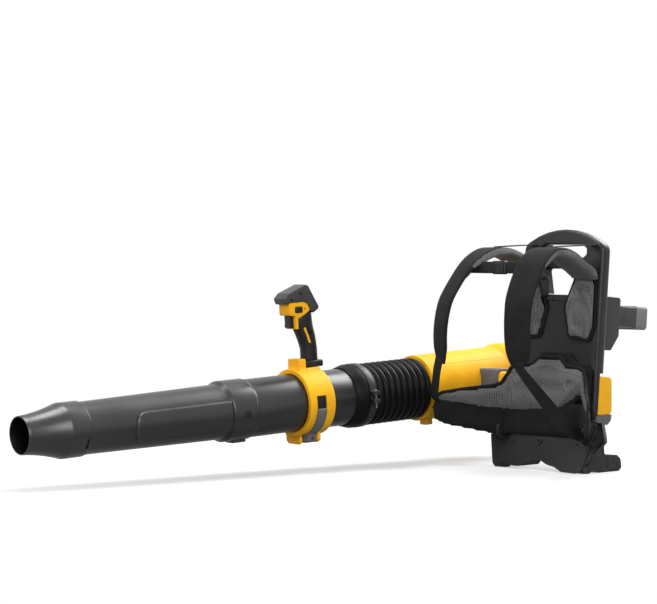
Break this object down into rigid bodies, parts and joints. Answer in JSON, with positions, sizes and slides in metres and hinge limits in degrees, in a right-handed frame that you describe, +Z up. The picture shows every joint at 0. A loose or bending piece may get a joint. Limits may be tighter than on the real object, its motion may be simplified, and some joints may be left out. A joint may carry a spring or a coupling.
{
  "type": "backpack leaf blower",
  "caption": "Battery backpack leaf blower: padded harness on an upright frame, with a fan unit, ribbed hose, swivelling blower tube, clamped trigger handle and tapered nozzle.",
  "frame": {"origin": "On the floor, under the middle of the whole blower's bounding box.", "axes": "+Z is up, -Y is the way the wearer faces and the tube points, +X is the wearer's left. The tube points 6 degrees to the wearer's right of -Y and droops 3.24 degrees."},
  "size_m": [0.6453, 1.2695, 0.4771],
  "materials": {
    "black_frame_plastic": "fine moulded grain",
    "black_tube_plastic": "smooth satin moulding",
    "yellow_housing_plastic": "smooth satin moulding",
    "dark_grey_plastic": "fine moulded grain",
    "mid_grey_plastic": "fine moulded grain",
    "grey_mesh_fabric": "open spacer mesh",
    "black_fabric": "plain weave and webbing",
    "black_hose_rubber": "matt",
    "dark_steel": "blackened steel",
    "bright_steel": "ground steel",
    "board_green": "lacquered board",
    "cell_wrap": "shrink-wrapped cells",
    "indicator_red": "clear red lens"
  },
  "bodies": {
    "pack": {"back_frame": "black_frame_plastic", "base_foot": "black_frame_plastic", "base_screw_left": "dark_steel", "base_screw_right": "dark_steel", "upper_pad_left": "grey_mesh_fabric", "upper_pad_right": "grey_mesh_fabric", "lumbar_backing": "black_fabric", "lumbar_pad": "grey_mesh_fabric", "belt_wing_left": "grey_mesh_fabric", "belt_wing_right": "grey_mesh_fabric", "shoulder_strap_left": "black_fabric", "shoulder_strap_right": "black_fabric", "webbing_left": "black_fabric", "webbing_right": "black_fabric", "chest_strap_left": "black_fabric", "chest_strap_right": "black_fabric", "chest_buckle": "black_frame_plastic", "load_lifter_left": "black_fabric", "load_lifter_right": "black_fabric", "electronics_housing": "yellow_housing_plastic", "electronics_bumper": "dark_grey_plastic", "controller_board": "board_green", "battery_dock": "black_frame_plastic", "fan_mount": "dark_grey_plastic", "fan_housing_upper": "yellow_housing_plastic", "fan_housing_lower": "yellow_housing_plastic", "stator": "dark_grey_plastic", "motor": "dark_steel", "motor_bearings": "bright_steel", "tail_cone": "dark_grey_plastic", "intake_grille": "black_frame_plastic", "bellows_rear": "black_hose_rubber"},
    "fan": {"rotor": "dark_grey_plastic", "rotor_shaft": "bright_steel"},
    "battery": {"battery_shell": "black_frame_plastic", "battery_cells": "cell_wrap", "battery_cap": "mid_grey_plastic"},
    "battery_catch": {"battery_release": "mid_grey_plastic"},
    "hose_middle": {"bellows_front": "black_hose_rubber"},
    "cuff": {"bellows_cuff": "black_hose_rubber", "hose_clamp": "black_frame_plastic", "hose_clamp_bolt": "dark_steel"},
    "tube": {"swivel_tube": "black_tube_plastic", "front_tube": "black_tube_plastic"},
    "lock": {"lock_button": "black_frame_plastic"},
    "outlet": {"nozzle": "black_tube_plastic"},
    "handle": {"clamp_ring": "yellow_housing_plastic", "lever_pin": "dark_steel", "handle_foot": "black_frame_plastic", "handle_shell_left": "black_frame_plastic", "handle_shell_right": "black_frame_plastic", "handle_head": "dark_grey_plastic", "handle_cover": "yellow_housing_plastic", "handle_screw": "dark_steel", "indicator": "indicator_red", "trigger_pin": "dark_steel", "trigger_switch": "dark_grey_plastic"},
    "lever": {"clamp_lever": "mid_grey_plastic"},
    "trigger_blade": {"trigger": "black_frame_plastic"},
    "speed_key": {"speed_button": "black_frame_plastic"}
  },
  "joints": [
    {"name": "fan_spin", "type": "hinge", "parent": "pack", "child": "fan", "pos_m": [-0.16535, 0.45394, 0.16148], "axis": [-0.1044, -0.9929, -0.0565], "continuous": true},
    {"name": "battery_slide", "type": "slide", "parent": "pack", "child": "battery", "axis": [0, 0.9964, -0.0847], "range_m": [0, 0.06]},
    {"name": "battery_release_press", "type": "slide", "parent": "battery", "child": "battery_catch", "axis": [0, -0.0847, -0.9964], "range_m": [0, 0.0022], "stiffness_N_per_m": 900, "springref_m": -0.002},
    {"name": "hose_yaw", "type": "hinge", "parent": "pack", "child": "hose_middle", "pos_m": [-0.18572, 0.26007, 0.15044], "axis": [0, 0, 1], "range_deg": [-22, 14], "deforming": ["bellows_rear"]},
    {"name": "hose_pitch", "type": "hinge", "parent": "hose_middle", "child": "cuff", "pos_m": [-0.19308, 0.19007, 0.14646], "axis": [-0.9945, 0.1045, 0], "range_deg": [-15, 25], "deforming": ["bellows_front"]},
    {"name": "tube_swivel", "type": "hinge", "parent": "cuff", "child": "tube", "pos_m": [-0.19978, 0.12627, 0.14283], "axis": [-0.1044, -0.9929, -0.0565], "range_deg": [-60, 60]},
    {"name": "handle_slide", "type": "slide", "parent": "tube", "child": "handle", "axis": [-0.1044, -0.9929, -0.0565], "range_m": [-0.034, 0.1]},
    {"name": "clamp_lever_open", "type": "hinge", "parent": "handle", "child": "lever", "pos_m": [-0.21385, 0.01642, 0.06394], "axis": [-0.1044, -0.9929, -0.0565], "range_deg": [-100, 0]},
    {"name": "trigger_pull", "type": "hinge", "parent": "handle", "child": "trigger_blade", "pos_m": [-0.21492, -0.01769, 0.31141], "axis": [0.9945, -0.1045, 0], "range_deg": [0, 10], "stiffness_Nm_per_rad": 0.25, "springref_deg": -20.05},
    {"name": "speed_button_press", "type": "slide", "parent": "handle", "child": "speed_key", "axis": [-0.9945, 0.1045, 0], "range_m": [0, 0.002], "stiffness_N_per_m": 800, "springref_m": -0.002},
    {"name": "lock_button_press", "type": "slide", "parent": "tube", "child": "lock", "axis": [-0.9913, 0.0992, 0.087], "range_m": [0, 0.0022], "stiffness_N_per_m": 900, "springref_m": -0.002},
    {"name": "nozzle_twist", "type": "hinge", "parent": "tube", "child": "outlet", "pos_m": [-0.2672, -0.51516, 0.10632], "axis": [-0.1044, -0.9929, -0.0565], "range_deg": [0, 22]}
  ]
}
